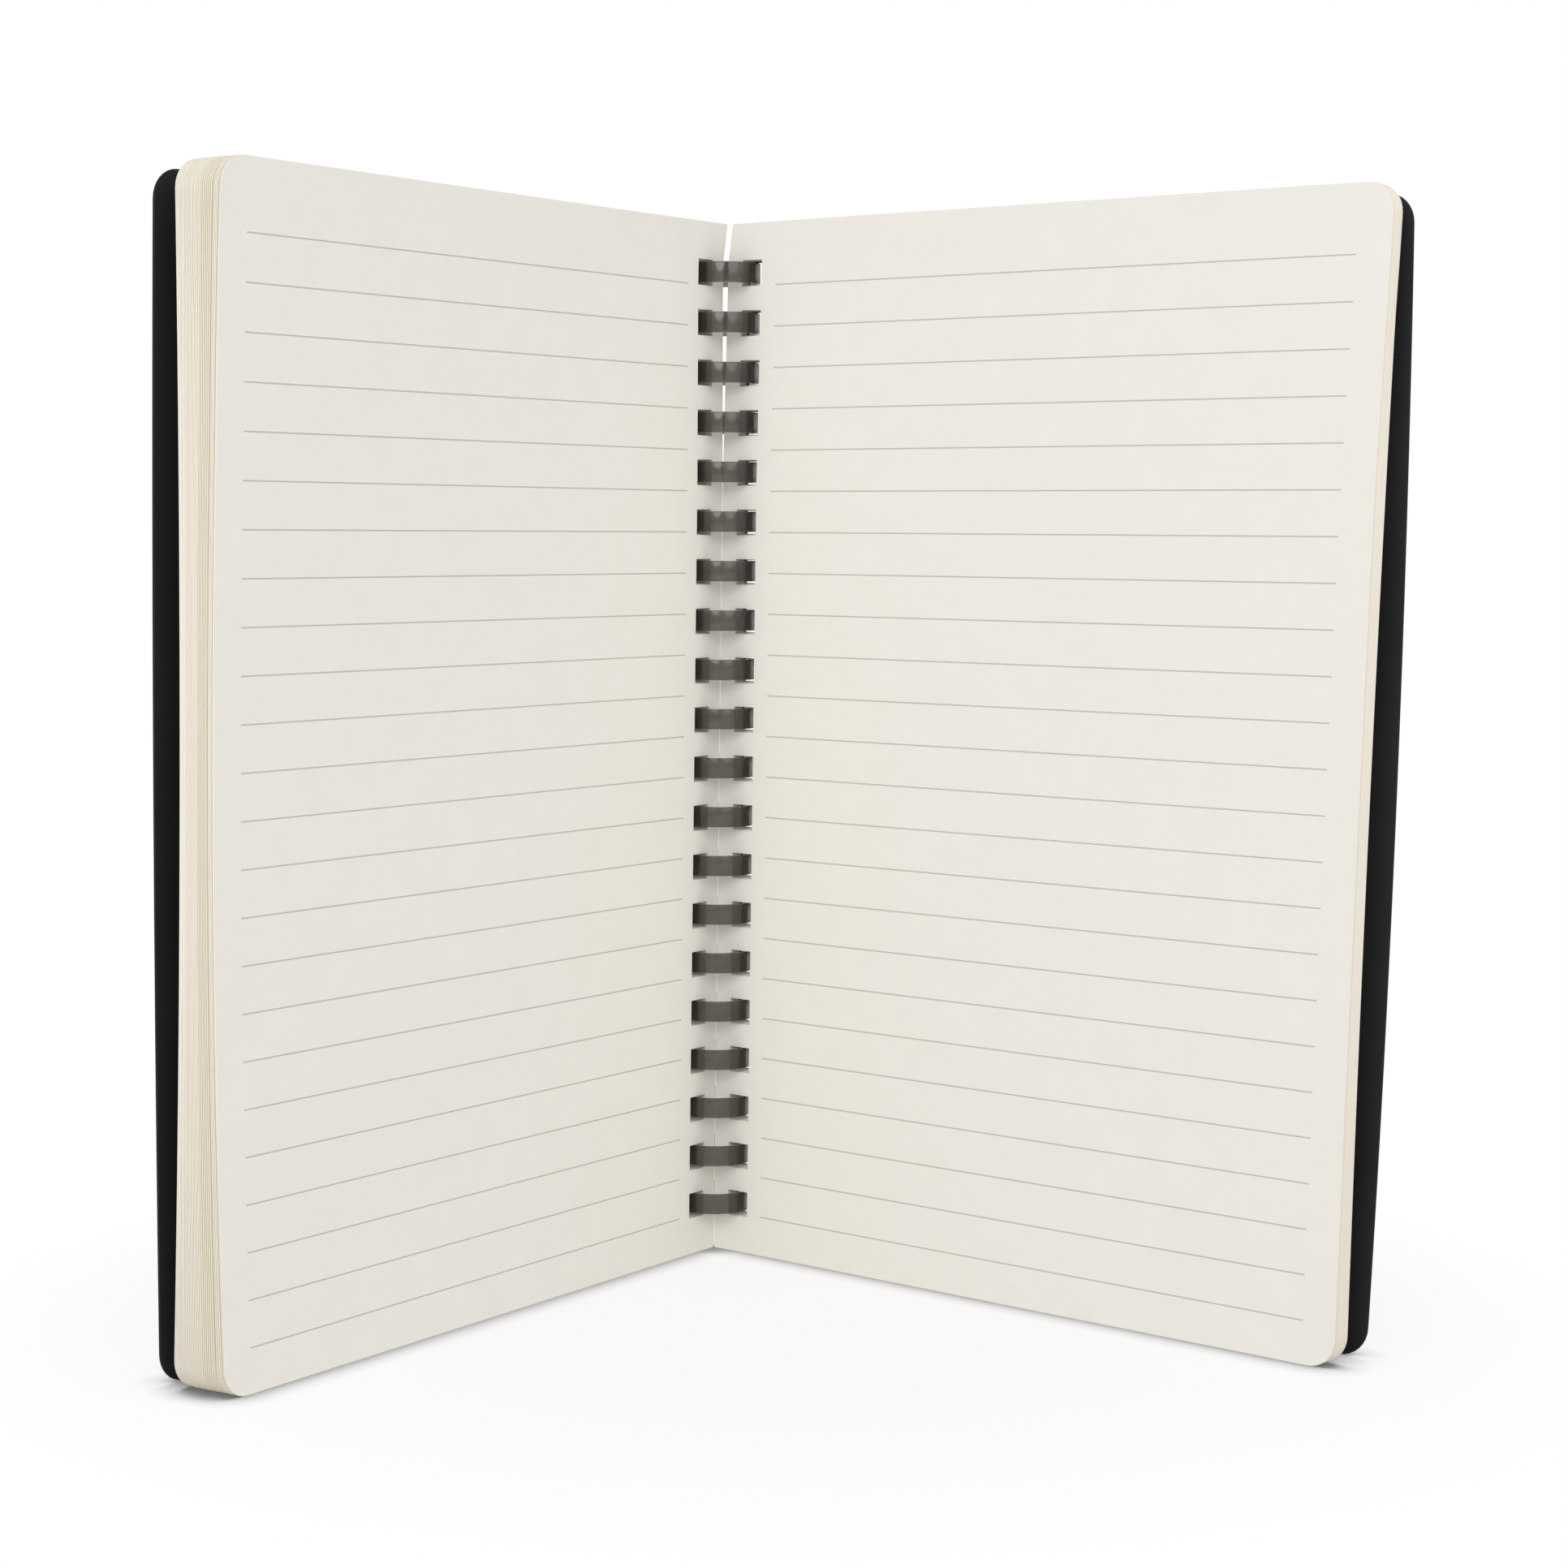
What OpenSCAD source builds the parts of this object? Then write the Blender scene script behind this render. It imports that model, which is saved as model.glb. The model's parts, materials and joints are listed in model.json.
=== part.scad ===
// Notebook standing open on its bottom edges, its leaves held by a row of flat plastic rings
// Leaves and covers are drawn with x away from the ring axis, y behind the open face and z up

/* [Leaves] */
// Width of a leaf, from its punched edge to its fore-edge
page_w = 127; // [90:1:200]
// Height of a leaf
page_h = 177.8; // [100:0.1:300]
// Radius of the two outer corners of a leaf
page_corner_r = 4.5; // [1:0.5:12]
// Strip of paper between the slots and the punched edge
page_margin = 3.15; // [2:0.05:3.6]
// Thickness of the leaves turned to the left
left_stack_t = 3.6; // [1:0.1:3.8]
// Thickness of the leaves turned to the right
right_stack_t = 2.2; // [1:0.1:3.8]
// Number of bundles that the left leaves fan into
left_bundles = 5; // [1:1:6]
// Number of bundles that the right leaves fan into
right_bundles = 3; // [1:1:6]
// Extra lean of each bundle behind the one before it, in degrees
fan_step = 0.6; // [0.2:0.1:0.9]
// Air between two bundles where they part
bundle_air = 0.1; // [0.05:0.05:0.15]
// Reach of the pressed zone beside the rings, from the ring axis
pressed_w = 12; // [10:0.5:30]
// Distance of each open face from the plane through the ring axis
face_gap = 0.15; // [0.05:0.05:0.3]

/* [Covers] */
// Width of a cover, from its punched edge to its fore-edge
cover_w = 125.85; // [90:0.05:200]
// Height of a cover
cover_h = 176.8; // [100:0.1:300]
// Thickness of a cover sheet
cover_t = 0.5; // [0.3:0.1:0.8]
// Radius of the two outer corners of a cover
cover_corner_r = 4.5; // [1:0.5:12]
// Strip of the cover between the slots and the punched edge
cover_margin = 2; // [1.5:0.1:3]
// Gap between a cover and the pressed leaves
cover_gap = 0.25; // [0.1:0.05:0.4]

/* [Rings] */
// Outer diameter of a ring
ring_d = 12.7; // [12.4:0.1:16]
// Thickness of the ring band
band_t = 0.6; // [0.4:0.1:0.8]
// Width of the ring band
band_w = 3.5; // [2:0.1:4]
// Spacing of the rings along the spine
ring_pitch = 8.467; // [7:0.001:14]
// Least distance from the end of a leaf to the middle of the first ring
ring_end = 8; // [5:0.5:20]
// Length of a slot across the leaf
slot_w = 4.4; // [3.6:0.1:4.8]
// Height of a slot along the spine
slot_h = 4.4; // [4.1:0.1:5.5]

/* [Backbone] */
// Direction of the middle of the backbone strip, in degrees round the ring axis
backbone_turn = 65; // [60:1:70]
// Width of the backbone strip, measured round its outer face
backbone_w = 4.2; // [2:0.1:4.5]
// Length of the backbone strip past the first and last ring bands
backbone_end = 1.5; // [0.5:0.1:4]
// Inward step of a ring tip where it tucks under the backbone
tuck = 0.55; // [0.5:0.01:0.6]
// Direction in which a ring starts to curl inwards, in degrees round the ring axis
tuck_from = 300; // [290:1:305]
// Turn of the curled tip, in degrees
tuck_turn = 122; // [112:1:126]

/* [Standing pose] */
// Turn of the left leaves towards the reader, in degrees
left_turn = 57.2; // [45:0.1:62]
// Turn of the right leaves towards the reader, in degrees
right_turn = 40.6; // [35:0.1:55]
// Lean of the front cover behind the left leaves, in degrees
front_splay = 4.6; // [4.5:0.1:8]
// Lean of the rear cover behind the right leaves, in degrees
rear_splay = 5.4; // [2:0.1:8]

/* [Hidden] */
$fn = 128;

// Overshoot of the cutting shapes
cut = 1;
// Overlap of a fanned bundle with the pressed zone
lap = 1;

ring_out_r = ring_d / 2;
ring_r = ring_out_r - band_t / 2;
ring_count = floor((page_h - 2 * ring_end) / ring_pitch) + 1;
ring_row_h = (ring_count - 1) * ring_pitch;
backbone_span = backbone_w / ring_out_r * 180 / PI;
front_depth = face_gap + left_stack_t + cover_gap;
rear_depth = face_gap + right_stack_t + cover_gap;
front_lean = left_turn - front_splay;
rear_lean = right_turn - rear_splay;

// Height of the middle of one ring, counted from the bottom
function ring_z(i) = (page_h - ring_row_h) / 2 + i * ring_pitch;

// The rings cross a sheet that lies this far behind the ring axis at this distance along it
function slot_at(depth) = sqrt(ring_r * ring_r - depth * depth);

// So the sheets slide along the ring as the stack gets deeper, at both of their edges
function leaf_reach(depth) = slot_at(depth) - slot_w / 2 - page_margin + page_w;
function cover_start(depth) = slot_at(depth + cover_t / 2) - slot_w / 2 - cover_margin;

// Plan position of a point of the left or right side, from the ring axis
function left_plan(turn, along, depth) =
    [-cos(turn) * along - sin(turn) * depth, cos(turn) * depth - sin(turn) * along];
function right_plan(turn, along, depth) =
    [cos(turn) * along + sin(turn) * depth, cos(turn) * depth - sin(turn) * along];

// The outermost points in plan, whose box is centred on the origin
plan_points = [
    left_plan(left_turn, leaf_reach(face_gap), face_gap),
    left_plan(front_lean, cover_start(front_depth) + cover_w, front_depth + cover_t),
    right_plan(right_turn, leaf_reach(face_gap), face_gap),
    right_plan(rear_lean, cover_start(rear_depth) + cover_w, rear_depth + cover_t),
    [0, ring_out_r]
];
plan_x = [for (p = plan_points) p[0]];
plan_y = [for (p = plan_points) p[1]];
axis_x = -(min(plan_x) + max(plan_x)) / 2;
axis_y = -(min(plan_y) + max(plan_y)) / 2;

// What is cut away to round the outer corner at the top right of a sheet
module corner_bite(r) {
    difference() {
        square([r + cut, r + cut]);
        circle(r);
    }
}

// Sheet standing upright along x, with its two outer corners rounded
module sheet(w, h, t, r) {
    translate([0, t, 0]) rotate([90, 0, 0]) linear_extrude(t)
    difference() {
        square([w, h]);
        translate([w - r, h - r]) corner_bite(r);
        translate([w - r, r]) mirror([0, 1]) corner_bite(r);
    }
}

// Slot through a stack, which follows the ring from sheet to sheet
module stack_slot() {
    linear_extrude(slot_h)
    difference() {
        translate([slot_w / 2, 0]) circle(ring_r);
        translate([-slot_w / 2, 0]) circle(ring_r);
    }
}

// Bundle of leaves that fans out past the pressed zone
module bundle(depth, t, lean) {
    reach = leaf_reach(depth + t / 2) - pressed_w;
    translate([pressed_w, depth, 0]) rotate([0, 0, lean]) translate([-lap, 0, 0])
    sheet(reach + lap, page_h, t, page_corner_r);
}

// Leaves on one side of the opening, as one block that fans into bundles
module leaf_stack(stack_t, bundles) {
    bundle_t = stack_t / bundles;
    punched_x = -slot_w / 2 - page_margin;
    difference() {
        union() {
            translate([punched_x, face_gap, 0]) cube([pressed_w - punched_x, stack_t, page_h]);
            for (i = [0 : bundles - 1])
                bundle(face_gap + i * bundle_t, bundle_t - bundle_air, i * fan_step);
        }
        translate([punched_x, 0, -cut]) cylinder(r = ring_r, h = page_h + 2 * cut);
        for (i = [0 : ring_count - 1]) translate([0, 0, ring_z(i) - slot_h / 2]) stack_slot();
    }
}

// Cover sheet with its inner face this far behind the ring axis
module cover(depth) {
    translate([cover_start(depth), depth, 0])
    difference() {
        sheet(cover_w, cover_h, cover_t, cover_corner_r);
        for (i = [0 : ring_count - 1])
            translate([cover_margin, -cut, ring_z(i) - slot_h / 2])
            cube([slot_w, cover_t + 2 * cut, slot_h]);
    }
}

// Pie-shaped area round the origin, from one direction through a turn of less than 160 degrees
module wedge(from, turn) {
    reach = 3 * ring_out_r;
    polygon([
        [0, 0],
        reach * [cos(from), sin(from)],
        reach * [cos(from + turn / 2), sin(from + turn / 2)],
        reach * [cos(from + turn), sin(from + turn)]
    ]);
}

// Outline of a whole ring band, seen along the spine
module band_outline(outer_r) {
    difference() {
        circle(outer_r);
        circle(outer_r - band_t);
    }
}

// One ring: a round main arc, then a smooth curl inwards that ends under the backbone
module ring_band() {
    linear_extrude(band_w) {
        difference() {
            band_outline(ring_out_r);
            wedge(tuck_from, 360 - tuck_from + backbone_turn);
        }
        translate([tuck * cos(tuck_from), tuck * sin(tuck_from)])
        intersection() {
            band_outline(ring_out_r - tuck);
            wedge(tuck_from, tuck_turn);
        }
    }
}

// Moulded strip along the spine with all its rings
module comb() {
    translate([0, 0, ring_z(0) - band_w / 2 - backbone_end])
    linear_extrude(ring_row_h + band_w + 2 * backbone_end)
    intersection() {
        band_outline(ring_out_r);
        wedge(backbone_turn - backbone_span / 2, backbone_span);
    }
    for (i = [0 : ring_count - 1]) translate([0, 0, ring_z(i) - band_w / 2]) ring_band();
}

module on_left(turn) {
    translate([axis_x, axis_y, 0]) mirror([1, 0, 0]) rotate([0, 0, -turn]) children();
}

module on_right(turn) {
    translate([axis_x, axis_y, 0]) rotate([0, 0, -turn]) children();
}

module binding() {
    color([0.22, 0.22, 0.22]) translate([axis_x, axis_y, 0]) comb();
}

module left_pages() {
    color([0.93, 0.91, 0.86]) on_left(left_turn) leaf_stack(left_stack_t, left_bundles);
}

module right_pages() {
    color([0.93, 0.91, 0.86]) on_right(right_turn) leaf_stack(right_stack_t, right_bundles);
}

module front_cover() {
    color([0.1, 0.1, 0.1]) on_left(front_lean) cover(front_depth);
}

module rear_cover() {
    color([0.1, 0.1, 0.1]) on_right(rear_lean) cover(rear_depth);
}

binding();
left_pages();
right_pages();
front_cover();
rear_cover();
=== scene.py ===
import bpy, json, math, random
from mathutils import Matrix, Vector


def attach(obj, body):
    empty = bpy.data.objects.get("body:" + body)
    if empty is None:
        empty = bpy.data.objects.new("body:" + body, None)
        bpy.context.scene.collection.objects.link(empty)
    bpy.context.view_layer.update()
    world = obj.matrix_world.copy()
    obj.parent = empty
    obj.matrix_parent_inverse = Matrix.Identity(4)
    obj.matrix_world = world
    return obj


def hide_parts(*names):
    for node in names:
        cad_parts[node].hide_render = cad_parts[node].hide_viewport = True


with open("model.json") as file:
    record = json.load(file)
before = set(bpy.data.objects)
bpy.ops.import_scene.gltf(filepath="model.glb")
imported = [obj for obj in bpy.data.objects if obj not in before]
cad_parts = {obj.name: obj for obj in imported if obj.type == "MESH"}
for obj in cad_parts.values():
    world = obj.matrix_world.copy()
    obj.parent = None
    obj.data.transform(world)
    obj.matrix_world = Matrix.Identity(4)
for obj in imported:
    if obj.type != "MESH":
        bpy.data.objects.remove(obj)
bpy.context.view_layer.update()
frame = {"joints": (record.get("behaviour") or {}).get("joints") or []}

mm = 0.001
bpy.ops.object.select_all(action='DESELECT')

joints = {joint["name"]: joint for joint in frame["joints"]}
ringAxis = Vector(joints["left_pages_turn"]["pos_m"])  # all hinges turn about the ring axis

# The sizes that the leaves, the covers and the rings share, in mm as the CAD has them
rings = {"count": 20, "pitch": 8.467, "outerRadius": 6.35, "bandThickness": 0.6, "bandWidth": 3.5,
         "edgeRadius": 0.14, "tuck": 0.55, "tuckFrom": 300, "tuckTurn": 122,
         "backboneFrom": 46.05, "backboneTo": 83.95, "backboneEnd": 1.5, "backboneExtra": 0.02, "rise": 0.42}
slots = {"width": 4.4, "height": 4.4}
leaves = {"width": 127, "height": 177.8, "thickness": 0.09, "cornerRadius": 4.5, "margin": 3.15,
          "innerRadius": 0.4, "pitch": 0.1, "faceGap": 0.15, "straightTo": 8}
# spread gives the groups of leaves: how many, and how far their fore-edges lie behind the open face
# A twist moves the fore-edge back, near the top, at mid-height and near the bottom
# push slides the leaves on the rings, at the top and below
leftSide = {"turn": 57.2, "spread": ((2, 0, 0.17), (4, 0.55, 1.25), (6, 1.75, 3.55), (24, 3.85, 8.95)),
            "frontTwist": (0.05, 1.75, 0.1), "backTwist": (0.1, -0.35, 0.85), "push": (-0.25, -0.72)}
rightSide = {"turn": 40.6, "spread": ((3, 0, 0.4), (19, 0.75, 4.3)),
             "frontTwist": (3.6, 0.2, -2.2), "backTwist": (2.7, -0.95, -2.9), "push": (-0.1, -0.72)}
covers = {"width": 125.85, "height": 176.8, "thickness": 0.5, "cornerRadius": 4.5, "margin": 2,
          "edgeBevel": 0.18, "frontDepth": 4.0, "rearDepth": 2.6, "frontSplay": 4.6, "rearSplay": 5.4,
          "frontTwist": (0.5, 0.75, 0), "rearTwist": (-2.1, -2.2, -6.3), "frontDrift": 0, "rearDrift": -0.3}
lean = 1.2  # the whole notebook leans to the right by this much at its top, within the play of its slots
slotDrift = 0.4  # the slots of the deepest leaves lie up to this much higher or lower than those of the first
edgeDrift = 0.05  # the punched edges of the leaves aren't quite flush
planeGap = 0.01  # no leaf slides nearer than this to the plane between the two sides
bendCuts = (14, 28, 46, 68, 94, 110)  # where a sheet is divided so that it can bend
fan = {"ease": 8, "scale": 111}  # how softly the leaves fan out, and what makes them reach their spread
twistReach = 78  # the top and bottom values of a twist hold this far above and below mid-height
slotZone = {"across": 0.1, "up": 3}  # the punched strip ends this far past the slots
smoothAngle = math.radians(35)
parting = {"from": 131, "reach": 38, "pinch": 0.13}  # the first leaves meet at the spine, and part above this
curl = {"shift": 0.7, "from": 171, "reach": 20}  # nothing holds the punched corners above the first ring
ruling = {"lines": 24, "spacing": 6.975, "firstHeight": 6.75, "start": 10.6, "length": 110.7, "thickness": 0.22,
          "strength": 0.68}
paintedWarmLight = {"from": 8, "to": 3}  # painted warm light: the inner leaves are painted creamier between these distances from the fore-edge, standing in for light bounced between them
brightEdge = 20  # painted highlight: the cut edges of the leaves are painted brighter past this distance from the punched edge, standing in for the light they catch

ringRadius = rings["outerRadius"] - rings["bandThickness"] / 2
rowHeight = (rings["count"] - 1) * rings["pitch"]


def ringHeight(index):
    return (leaves["height"] - rowHeight) / 2 + index * rings["pitch"]


def slotAt(depth):
    return math.sqrt(ringRadius ** 2 - depth ** 2)


def combRise(height):  # low rings sit near the tops of their slots
    return rings["rise"] * (1 - height / leaves["height"])


# Small helpers
def colour(hexText):  # sRGB hex to the linear colour that Blender mixes in
    parts = [int(hexText[i:i + 2], 16) / 255 for i in (0, 2, 4)]
    return tuple(c / 12.92 if c <= 0.04045 else ((c + 0.055) / 1.055) ** 2.4 for c in parts) + (1,)


def addNode(tree, kind, inputs=None, **settings):
    made = tree.nodes.new(kind)
    for name, value in settings.items():
        setattr(made, name, value)
    for name, value in (inputs or {}).items():
        if isinstance(value, bpy.types.NodeSocket):
            tree.links.new(value, made.inputs[name])
        else:
            made.inputs[name].default_value = value
    return made


def newMaterial(name):
    material = bpy.data.materials.new(name)
    material.use_nodes = True
    material.node_tree.nodes.clear()
    return material, material.node_tree


def setMaterial(piece, material):
    piece.data.materials.clear()
    piece.data.materials.append(material)


def onlyThis(piece):
    bpy.ops.object.select_all(action='DESELECT')
    piece.select_set(True)
    bpy.context.view_layer.objects.active = piece


def applyModifiers(piece):
    onlyThis(piece)
    for modifier in list(piece.modifiers):
        bpy.ops.object.modifier_apply(modifier=modifier.name)


def joinPieces(pieces, name):
    onlyThis(pieces[0])
    for piece in pieces:
        piece.select_set(True)
    bpy.ops.object.join()
    joined = bpy.context.view_layer.objects.active
    joined.name = name
    joined.data.name = name
    return joined


# Materials
def paperMaterial():
    # Uncoated offset paper, cream, calendered and printed with thin grey ruling: matte, with faint fibre mottle
    material, tree = newMaterial("uncoatedCreamPaper")
    place = addNode(tree, "ShaderNodeTexCoord")
    page = addNode(tree, "ShaderNodeUVMap", uv_map="page")
    cross = addNode(tree, "ShaderNodeSeparateXYZ", {0: page.outputs[0]})
    across, up = cross.outputs["X"], cross.outputs["Y"]

    def sums(kind, *terms):
        return addNode(tree, "ShaderNodeMath", dict(enumerate(terms)), operation=kind).outputs[0]

    spacing = ruling["spacing"] * mm
    fromLine = sums('PINGPONG', sums('SUBTRACT', up, ruling["firstHeight"] * mm - spacing * 4), spacing / 2)
    onLine = sums('LESS_THAN', fromLine, ruling["thickness"] * mm / 2)
    middle = (ruling["firstHeight"] + (ruling["lines"] - 1) / 2 * ruling["spacing"]) * mm
    inRows = sums('COMPARE', up, middle, (ruling["lines"] / 2) * spacing)
    centre = (ruling["start"] + ruling["length"] / 2) * mm
    inLength = sums('COMPARE', across, centre, ruling["length"] / 2 * mm)
    inked = sums('MULTIPLY', sums('MULTIPLY', onLine, inRows), inLength)

    mottle = addNode(tree, "ShaderNodeTexNoise", {"Vector": place.outputs["Object"], "Scale": 1 / (6 * mm),
                     "Detail": 3.0, "Roughness": 0.6})
    shade = addNode(tree, "ShaderNodeMix", {"Factor": mottle.outputs[0], "A": colour("ebe8e0"),
                    "B": colour("f0ede7")}, data_type='RGBA')
    nearEdge = addNode(tree, "ShaderNodeMapRange", {"Value": across,
                       "From Min": (leaves["width"] - paintedWarmLight["from"]) * mm,
                       "From Max": (leaves["width"] - paintedWarmLight["to"]) * mm})
    inside = addNode(tree, "ShaderNodeAttribute", attribute_name="inside")
    paintedLitEdge = addNode(tree, "ShaderNodeAttribute", attribute_name="paintedLitEdge")
    between = sums('MULTIPLY', nearEdge.outputs[0], inside.outputs["Fac"])
    shade = addNode(tree, "ShaderNodeMix", {"Factor": between, "A": shade.outputs["Result"],
                    "B": colour("fdf6e3")}, data_type='RGBA')  # painted warm light: light bounced between the leaves is painted in as their cream
    shade = addNode(tree, "ShaderNodeMix", {"Factor": paintedLitEdge.outputs["Fac"], "A": shade.outputs["Result"],
                    "B": colour("fffaf1")}, data_type='RGBA')  # painted highlight: the cut edges are painted brighter, standing in for light that soaks into them
    ink = addNode(tree, "ShaderNodeMix", {"Factor": sums('MULTIPLY', inked, ruling["strength"]),
                  "A": shade.outputs["Result"], "B": colour("aaa2a1")}, data_type='RGBA')
    fibre = addNode(tree, "ShaderNodeTexNoise", {"Vector": place.outputs["Object"], "Scale": 1 / (0.35 * mm),
                    "Detail": 2.0})
    bump = addNode(tree, "ShaderNodeBump", {"Height": fibre.outputs[0], "Strength": 0.12,
                   "Distance": 0.02 * mm})
    shader = addNode(tree, "ShaderNodeBsdfPrincipled", {"Base Color": ink.outputs["Result"], "Roughness": 0.86,
                     "IOR": 1.45, "Specular IOR Level": 0.25, "Normal": bump.outputs[0]})
    addNode(tree, "ShaderNodeOutputMaterial", {"Surface": shader.outputs[0]})
    return material


def coverMaterial():
    # Extruded black polypropylene sheet with a fine matte grain: deep grey-black with a soft sheen
    material, tree = newMaterial("matteBlackPolypropylene")
    place = addNode(tree, "ShaderNodeTexCoord")
    grain = addNode(tree, "ShaderNodeTexNoise", {"Vector": place.outputs["Object"], "Scale": 1 / (0.5 * mm),
                    "Detail": 2.0})  # the real grain is near 0.2 mm, drawn coarser so that it shows
    cloud = addNode(tree, "ShaderNodeTexNoise", {"Vector": place.outputs["Object"], "Scale": 1 / (25 * mm),
                    "Detail": 3.0})
    shade = addNode(tree, "ShaderNodeMix", {"Factor": cloud.outputs[0], "A": colour("1a191a"),
                    "B": colour("222122")}, data_type='RGBA')
    rough = addNode(tree, "ShaderNodeMapRange", {"Value": cloud.outputs[0], "To Min": 0.46, "To Max": 0.6})
    bump = addNode(tree, "ShaderNodeBump", {"Height": grain.outputs[0], "Strength": 0.25,
                   "Distance": 0.03 * mm})
    shader = addNode(tree, "ShaderNodeBsdfPrincipled", {"Base Color": shade.outputs["Result"],
                     "Roughness": rough.outputs[0], "IOR": 1.49, "Specular IOR Level": 0.27,
                     "Normal": bump.outputs[0]})
    addNode(tree, "ShaderNodeOutputMaterial", {"Surface": shader.outputs[0]})
    return material


def smokyMaterial():
    # Moulded smoke-tinted PVC: glossy, and see-through with a grey-brown tint that swallows most of the light
    material, tree = newMaterial("smokyMouldedPvc")
    place = addNode(tree, "ShaderNodeTexCoord")
    flow = addNode(tree, "ShaderNodeTexNoise", {"Vector": place.outputs["Object"], "Scale": 1 / (3 * mm),
                   "Detail": 2.0})
    shade = addNode(tree, "ShaderNodeMix", {"Factor": flow.outputs[0], "A": colour("6d6963"),
                    "B": colour("7a766f")}, data_type='RGBA')
    rough = addNode(tree, "ShaderNodeMapRange", {"Value": flow.outputs[0], "To Min": 0.1, "To Max": 0.18})
    bump = addNode(tree, "ShaderNodeBump", {"Height": flow.outputs[0], "Strength": 0.1, "Distance": 0.05 * mm})
    shader = addNode(tree, "ShaderNodeBsdfPrincipled", {"Base Color": shade.outputs["Result"],
                     "Roughness": rough.outputs[0], "IOR": 1.53, "Transmission Weight": 0.95,
                     "Normal": bump.outputs[0]})
    addNode(tree, "ShaderNodeOutputMaterial", {"Surface": shader.outputs[0]})
    return material


paper = paperMaterial()
blackSheet = coverMaterial()
smokyPvc = smokyMaterial()
print("materials ready")


# A punched sheet lying in its own frame: x from the punched edge, y through its thickness, z up
def punchedSheet(name, width, height, thickness, cornerRadius, margin):
    bpy.ops.object.select_all(action='DESELECT')
    bpy.ops.mesh.primitive_plane_add(size=1, location=(0, 0, 0), rotation=(math.pi / 2, 0, 0))
    sheet = bpy.context.active_object
    sheet.name = name
    bpy.ops.object.transform_apply(location=True, rotation=True, scale=True)
    bpy.ops.object.mode_set(mode='EDIT')
    bpy.ops.mesh.select_all(action='SELECT')
    bpy.ops.transform.resize(value=(width * mm, 1, height * mm))
    bpy.ops.transform.translate(value=(width / 2 * mm, 0, height / 2 * mm))
    bpy.ops.mesh.select_mode(type='VERT')
    for outer, radius, segments in ((True, cornerRadius, 8), (False, leaves["innerRadius"], 2)):
        bpy.ops.mesh.select_all(action='DESELECT')
        bpy.ops.object.mode_set(mode='OBJECT')
        for vertex in sheet.data.vertices:
            vertex.select = (vertex.co.x > width / 2 * mm) == outer
        bpy.ops.object.mode_set(mode='EDIT')
        bpy.ops.mesh.bevel(offset=radius * mm, segments=segments, affect='VERTICES')
    lengths = (margin, margin + slots["width"]) + bendCuts
    heights = []
    for ring in range(rings["count"]):
        for side in (-0.5, 0.5):
            heights.append(ringHeight(ring) + side * slots["height"])
    for length in lengths:
        bpy.ops.mesh.select_all(action='SELECT')
        bpy.ops.mesh.bisect(plane_co=(length * mm, 0, 0), plane_no=(1, 0, 0))
    for z in heights:
        bpy.ops.mesh.select_all(action='SELECT')
        bpy.ops.mesh.bisect(plane_co=(0, 0, z * mm), plane_no=(0, 0, 1))
    bpy.ops.mesh.select_mode(type='FACE')
    bpy.ops.mesh.select_all(action='DESELECT')
    bpy.ops.object.mode_set(mode='OBJECT')
    for face in sheet.data.polygons:
        x, z = face.center.x / mm, face.center.z / mm
        nearest = min(abs(z - ringHeight(ring)) for ring in range(rings["count"]))
        face.select = margin < x < margin + slots["width"] and nearest < slots["height"] / 2
    bpy.ops.object.mode_set(mode='EDIT')
    bpy.ops.mesh.delete(type='FACE')
    bpy.ops.object.mode_set(mode='OBJECT')
    solid = sheet.modifiers.new("thickness", 'SOLIDIFY')
    solid.thickness = thickness * mm
    solid.offset = 1  # the sheet stands in front of y = 0 until it is moved back
    applyModifiers(sheet)
    front = min(vertex.co.y for vertex in sheet.data.vertices)
    for vertex in sheet.data.vertices:
        vertex.co.y -= front
    return sheet


def mapPage(sheet):
    layer = sheet.data.uv_layers.new(name="page")
    for loop in sheet.data.loops:
        place = sheet.data.vertices[loop.vertex_index].co
        layer.data[loop.index].uv = (place.x, place.z)


def markFaces(sheet, name, values):
    marks = sheet.data.attributes.get(name) or sheet.data.attributes.new(name, 'FLOAT', 'FACE')
    for mark, value in zip(marks.data, values):
        mark.value = value


def twistAt(twist, z):  # fore-edge shift in mm from its values near the top, at the middle and near the bottom
    top, middle, bottom = twist
    s = (z / mm - leaves["height"] / 2) / twistReach
    return middle + (top - bottom) / 2 * s + ((top + bottom) / 2 - middle) * s * s


def bendSheet(sheet, start, depth, behind, twist, push=(0, 0), pinch=0):
    for vertex in sheet.data.vertices:
        parted = min(1, max(0, (vertex.co.z / mm - parting["from"]) / parting["reach"]))
        slide = push[1] + (push[0] - push[1]) * parted
        slide = min(0, max(slide, planeGap - start))
        pressed = pinch * mm * (1 - parted) * max(0, 1 - vertex.co.x / (leaves["margin"] * mm))
        x = vertex.co.x + (start + slide) * mm
        free = max(0, x - leaves["straightTo"] * mm)
        fanned = behind * mm * free * free / (free + fan["ease"] * mm) / (fan["scale"] * mm)
        bow = twistAt(twist, vertex.co.z) * mm * free / ((leaves["width"] - leaves["straightTo"]) * mm)
        vertex.co = (x, vertex.co.y + depth * mm + fanned + bow - pressed, vertex.co.z)


def driftSlots(sheet, margin, share, drift):
    lowest, highest = ringHeight(0) - slotZone["up"], ringHeight(rings["count"] - 1) + slotZone["up"]
    for vertex in sheet.data.vertices:
        x, z = vertex.co.x / mm, vertex.co.z / mm
        if x < margin + slots["width"] + slotZone["across"] and lowest < z < highest:
            vertex.co.z += share * (combRise(z) + drift) * mm


def leanOver(piece):
    for vertex in piece.data.vertices:
        vertex.co.x += lean * mm * vertex.co.z / (leaves["height"] * mm)


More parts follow.
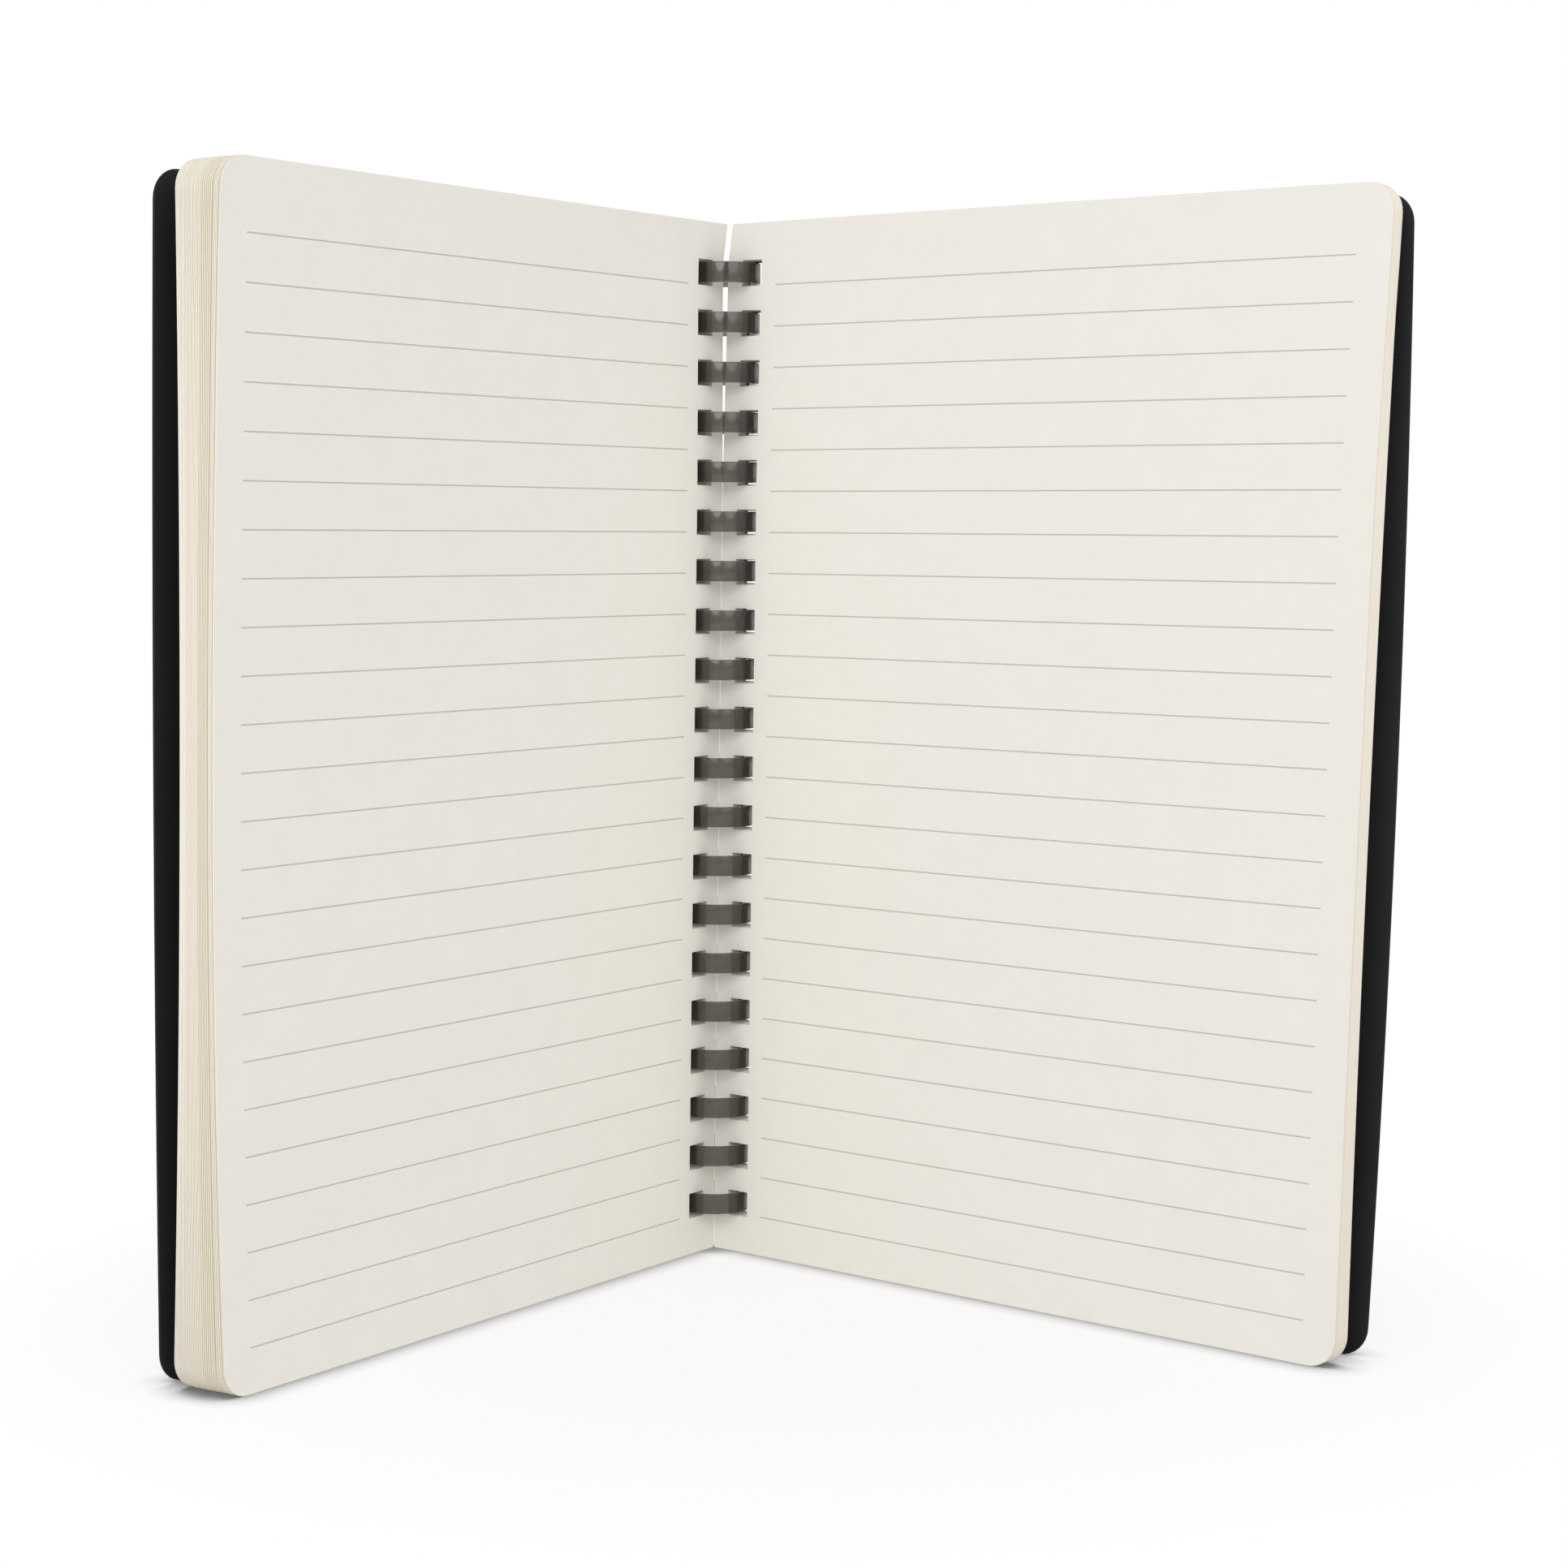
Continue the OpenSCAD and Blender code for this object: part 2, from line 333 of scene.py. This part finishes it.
def curlCorner(sheet):
    for vertex in sheet.data.vertices:
        above = max(0, vertex.co.z / mm - curl["from"]) / (leaves["height"] - curl["from"])
        beside = abs(vertex.co.x - ringAxis.x) / mm
        vertex.co.x += curl["shift"] * mm * above * max(0, 1 - beside / curl["reach"])


def standSheet(sheet, turn, mirrored):
    place = Matrix.Rotation(math.radians(-turn), 4, 'Z')
    if mirrored:
        place = Matrix.Scale(-1, 4, (1, 0, 0)) @ place
    sheet.data.transform(Matrix.Translation(ringAxis) @ place)
    curlCorner(sheet)
    leanOver(sheet)
    if mirrored:
        onlyThis(sheet)
        bpy.ops.object.mode_set(mode='EDIT')
        bpy.ops.mesh.select_all(action='SELECT')
        bpy.ops.mesh.normals_make_consistent(inside=False)
        bpy.ops.object.mode_set(mode='OBJECT')
    onlyThis(sheet)
    bpy.ops.object.shade_smooth_by_angle(angle=smoothAngle)


def makeLeaves(name, side, mirrored):
    template = punchedSheet("leafTemplate", leaves["width"], leaves["height"], leaves["thickness"],
                            leaves["cornerRadius"], leaves["margin"])
    mapPage(template)
    # these faces get the painted highlight: the cut edges past brightEdge
    markFaces(template, "paintedLitEdge", [float(abs(face.normal.y) < 0.5 and face.center.x > brightEdge * mm)
                                    for face in template.data.polygons])
    made = []
    total = sum(count for count, nearest, furthest in side["spread"])
    for count, nearest, furthest in side["spread"]:
        for inGroup in range(count):
            leaf = template.copy()
            leaf.data = template.data.copy()
            bpy.context.scene.collection.objects.link(leaf)
            index = len(made)
            depth = leaves["faceGap"] + index * leaves["pitch"]
            share = index / (total - 1)
            edge = nearest + (furthest - nearest) * inGroup / max(1, count - 1)
            start = slotAt(depth + leaves["thickness"] / 2) - slots["width"] / 2 - leaves["margin"]
            if index > 0:
                start += chance.uniform(-edgeDrift, edgeDrift)
                driftSlots(leaf, leaves["margin"], share, chance.uniform(-slotDrift, slotDrift))
            # the inner leaves get the painted warm light near their fore-edges
            markFaces(leaf, "inside", [float(0 < index < total - 1)] * len(leaf.data.polygons))
            twist = [a + (b - a) * share for a, b in zip(side["frontTwist"], side["backTwist"])]
            bendSheet(leaf, start, depth, max(0, edge + leaves["faceGap"] - depth), twist, side["push"],
                      parting["pinch"] if index == 0 else 0)
            made.append(leaf)
    bpy.data.objects.remove(template)
    stack = joinPieces(made, name)
    standSheet(stack, side["turn"], mirrored)
    setMaterial(stack, paper)
    return stack


def makeCover(name, depth, turn, twist, drift, mirrored):
    cover = punchedSheet(name, covers["width"], covers["height"], covers["thickness"], covers["cornerRadius"],
                         covers["margin"])
    edges = cover.modifiers.new("roundedEdges", 'BEVEL')
    edges.width = covers["edgeBevel"] * mm
    edges.segments = 2
    edges.limit_method = 'ANGLE'
    edges.angle_limit = math.radians(50)
    applyModifiers(cover)
    driftSlots(cover, covers["margin"], 1, drift)
    start = slotAt(depth + covers["thickness"] / 2) - slots["width"] / 2 - covers["margin"]
    bendSheet(cover, start, depth, 0, twist)
    standSheet(cover, turn, mirrored)
    setMaterial(cover, blackSheet)
    return cover


chance = random.Random(7)
leftLeaves = makeLeaves("leftLeaves", leftSide, True)
rightLeaves = makeLeaves("rightLeaves", rightSide, False)
print("leaves ready", len(leftLeaves.data.polygons), len(rightLeaves.data.polygons))
frontCover = makeCover("frontCoverSheet", covers["frontDepth"], leftSide["turn"] - covers["frontSplay"],
                       covers["frontTwist"], covers["frontDrift"], True)
rearCover = makeCover("rearCoverSheet", covers["rearDepth"], rightSide["turn"] - covers["rearSplay"],
                      covers["rearTwist"], covers["rearDrift"], False)
print("covers ready")


# One band, swept from a rounded flat section round the ring axis and then round the tucked tip
def spinSection(name, radius, thickness, height, edge, parts):
    bpy.ops.object.select_all(action='DESELECT')
    bpy.ops.mesh.primitive_plane_add(size=1, location=(0, 0, 0), rotation=(math.pi / 2, 0, 0))
    band = bpy.context.active_object
    band.name = name
    bpy.ops.object.transform_apply(location=True, rotation=True, scale=True)
    bpy.ops.object.mode_set(mode='EDIT')
    bpy.ops.mesh.select_all(action='SELECT')
    bpy.ops.transform.resize(value=(thickness * mm, 1, height * mm))
    bpy.ops.mesh.select_mode(type='VERT')
    bpy.ops.mesh.bevel(offset=edge * mm, segments=3, affect='VERTICES')
    bpy.ops.object.mode_set(mode='OBJECT')
    start = math.radians(parts[0][0])
    band.data.transform(Matrix.Rotation(start, 4, 'Z') @ Matrix.Translation((radius * mm, 0, 0)))
    band.data.transform(Matrix.Translation(ringAxis))
    bpy.ops.object.mode_set(mode='EDIT')
    bpy.ops.mesh.select_all(action='SELECT')
    for turnFrom, turn, shift, steps in parts:
        away = Vector((math.cos(math.radians(turnFrom)), math.sin(math.radians(turnFrom)), 0)) * shift * mm
        bpy.ops.mesh.spin(steps=steps, angle=math.radians(-turn), center=ringAxis + away, axis=(0, 0, 1))
    bpy.ops.mesh.select_all(action='SELECT')
    bpy.ops.mesh.remove_doubles(threshold=0.001 * mm)
    bpy.ops.mesh.select_all(action='DESELECT')
    bpy.ops.mesh.select_mode(type='EDGE')
    bpy.ops.mesh.select_non_manifold()
    bpy.ops.mesh.edge_face_add()
    bpy.ops.mesh.select_all(action='SELECT')
    bpy.ops.mesh.normals_make_consistent(inside=False)
    bpy.ops.object.mode_set(mode='OBJECT')
    return band


def makeBinding():
    middle = (rings["backboneFrom"] + rings["backboneTo"]) / 2
    template = spinSection("bandTemplate", ringRadius, rings["bandThickness"], rings["bandWidth"],
                           rings["edgeRadius"],
                           ((middle, rings["tuckFrom"] - middle, 0, 60),
                            (rings["tuckFrom"], rings["tuckTurn"], rings["tuck"], 30)))
    bands = []
    for ring in range(rings["count"]):
        band = template.copy()
        band.data = template.data.copy()
        bpy.context.scene.collection.objects.link(band)
        band.data.transform(Matrix.Translation((0, 0, ringHeight(ring) * mm)))
        bands.append(band)
    bpy.data.objects.remove(template)
    bands = joinPieces(bands, "bandRow")
    height = rowHeight + rings["bandWidth"] + 2 * rings["backboneEnd"]
    strip = spinSection("bindingComb", ringRadius, rings["bandThickness"] + rings["backboneExtra"], height,
                        rings["edgeRadius"],
                        ((rings["backboneFrom"], rings["backboneTo"] - rings["backboneFrom"], 0, 12),))
    strip.data.transform(Matrix.Translation((0, 0, leaves["height"] / 2 * mm)))
    union = strip.modifiers.new("bands", 'BOOLEAN')
    union.operation = 'UNION'
    union.solver = 'EXACT'
    union.object = bands
    applyModifiers(strip)
    bpy.data.objects.remove(bands)
    for vertex in strip.data.vertices:
        vertex.co.z += combRise(vertex.co.z / mm) * mm
    leanOver(strip)
    onlyThis(strip)
    bpy.ops.object.shade_smooth_by_angle(angle=smoothAngle)
    setMaterial(strip, smokyPvc)
    return strip


comb = makeBinding()
print("binding ready", len(comb.data.polygons))

for piece, body, node, slotName in ((leftLeaves, "left_pages", "left_pages", "cream_paper"),
                                    (rightLeaves, "right_pages", "right_pages", "cream_paper"),
                                    (frontCover, "front_cover", "front_cover", "black_cover"),
                                    (rearCover, "rear_cover", "rear_cover", "black_cover"),
                                    (comb, "binding", "binding", "smoky_plastic")):
    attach(piece, body)
    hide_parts(node)


# Floor, light and camera
def seenDirectly(tree):  # by the camera, also through the smoky rings
    rays = addNode(tree, "ShaderNodeLightPath")
    return addNode(tree, "ShaderNodeMath", {0: rays.outputs["Is Camera Ray"],
                   1: rays.outputs["Is Transmission Ray"]}, operation='MAXIMUM').outputs[0]


def floorMaterial():
    # Seamless white studio paper: white to the camera, with the real shadow and a painted contact shadow, a
    # soft dark line drawn from ambient occlusion
    material, tree = newMaterial("studioWhite")
    seen = seenDirectly(tree)
    # painted contact shadow: ambient occlusion dims the floor's glow to the camera where the notebook stands
    # close
    contact = addNode(tree, "ShaderNodeAmbientOcclusion", {"Distance": 6 * mm}, samples=4)
    shade = addNode(tree, "ShaderNodeMapRange", {"Value": contact.outputs["AO"], "From Min": 0.35,
                    "From Max": 0.95, "To Min": 0.12, "To Max": 1.0}, interpolation_type='SMOOTHSTEP')
    glow = addNode(tree, "ShaderNodeEmission", {"Color": (1, 1, 1, 1), "Strength": shade.outputs[0]})
    plain = addNode(tree, "ShaderNodeBsdfDiffuse", {"Color": colour("f4f4f4")})
    place = addNode(tree, "ShaderNodeTexCoord")
    away = addNode(tree, "ShaderNodeVectorMath", {0: place.outputs["Object"]}, operation='LENGTH')
    white = addNode(tree, "ShaderNodeMapRange", {"Value": away.outputs["Value"], "From Min": 0.05,
                    "From Max": 0.14, "To Min": 0.75, "To Max": 1.0})
    share = addNode(tree, "ShaderNodeMath", {0: seen, 1: white.outputs[0]}, operation='MULTIPLY')
    mixed = addNode(tree, "ShaderNodeMixShader", {0: share.outputs[0], 1: plain.outputs[0], 2: glow.outputs[0]})
    addNode(tree, "ShaderNodeOutputMaterial", {"Surface": mixed.outputs[0]})
    return material


bpy.ops.object.select_all(action='DESELECT')
bpy.ops.mesh.primitive_plane_add(size=8, location=(0, 0, 0))
floor = bpy.context.active_object
floor.name = "studioFloor"
setMaterial(floor, floorMaterial())

studio = {"worldStrength": 0.62, "keyPower": 3.25, "keyPlace": (-0.3, -1, 0.55), "keySize": 0.6,
          "fillPower": 2.75, "fillPlace": (0.55, -1.1, 0.6), "fillSize": 0.8,
          "sparklePower": 0.35, "sparklePlace": (0.36, -0.85, 0.9), "sparkleSize": 0.06, "aim": (0, 0, 0.09)}


def softLamp(name, place, power, size):
    lamp = bpy.data.lights.new(name, 'AREA')
    lamp.shape = 'DISK'
    lamp.energy = power
    lamp.size = size
    holder = bpy.data.objects.new(name, lamp)
    bpy.context.scene.collection.objects.link(holder)
    holder.location = place
    towards = Vector(studio["aim"]) - Vector(place)
    holder.rotation_euler = towards.to_track_quat('-Z', 'Y').to_euler()


softLamp("keyLamp", studio["keyPlace"], studio["keyPower"], studio["keySize"])
softLamp("fillLamp", studio["fillPlace"], studio["fillPower"], studio["fillSize"])
softLamp("sparkleLamp", studio["sparklePlace"], studio["sparklePower"], studio["sparkleSize"])

world = bpy.data.worlds.new("studioWorld")
bpy.context.scene.world = world
world.use_nodes = True
world.node_tree.nodes.clear()
level = addNode(world.node_tree, "ShaderNodeMapRange", {"Value": seenDirectly(world.node_tree),
                "To Min": studio["worldStrength"], "To Max": 1.0})
sky = addNode(world.node_tree, "ShaderNodeBackground", {"Color": (1, 1, 1, 1), "Strength": level.outputs[0]})
addNode(world.node_tree, "ShaderNodeOutputWorld", {"Surface": sky.outputs[0]})

# The camera stands where the photograph's perspective puts it, in mm from the foot of the ring axis
photo = {"size": 1932, "focalPixels": 4122.7, "centreX": 945.0, "centreY": 1026.6, "pitchDown": 5.202,
         "roll": 0.372, "from": (8.94, -580.0, 125.99)}
camera = bpy.data.cameras.new("photoCamera")
camera.sensor_width = 36
camera.sensor_fit = 'HORIZONTAL'
camera.lens = photo["focalPixels"] * camera.sensor_width / photo["size"]
camera.shift_x = (photo["size"] / 2 - photo["centreX"]) / photo["size"]
camera.shift_y = (photo["centreY"] - photo["size"] / 2) / photo["size"]
viewer = bpy.data.objects.new("photoCamera", camera)
bpy.context.scene.collection.objects.link(viewer)
foot = Vector((ringAxis.x, ringAxis.y, 0))
viewer.matrix_world = (Matrix.Translation(foot + Vector(photo["from"]) * mm)
                       @ Matrix.Rotation(math.radians(90 - photo["pitchDown"]), 4, 'X')
                       @ Matrix.Rotation(math.radians(photo["roll"]), 4, 'Z'))
bpy.context.scene.camera = viewer
bpy.context.scene.view_settings.view_transform = 'Standard'
print("scene ready")
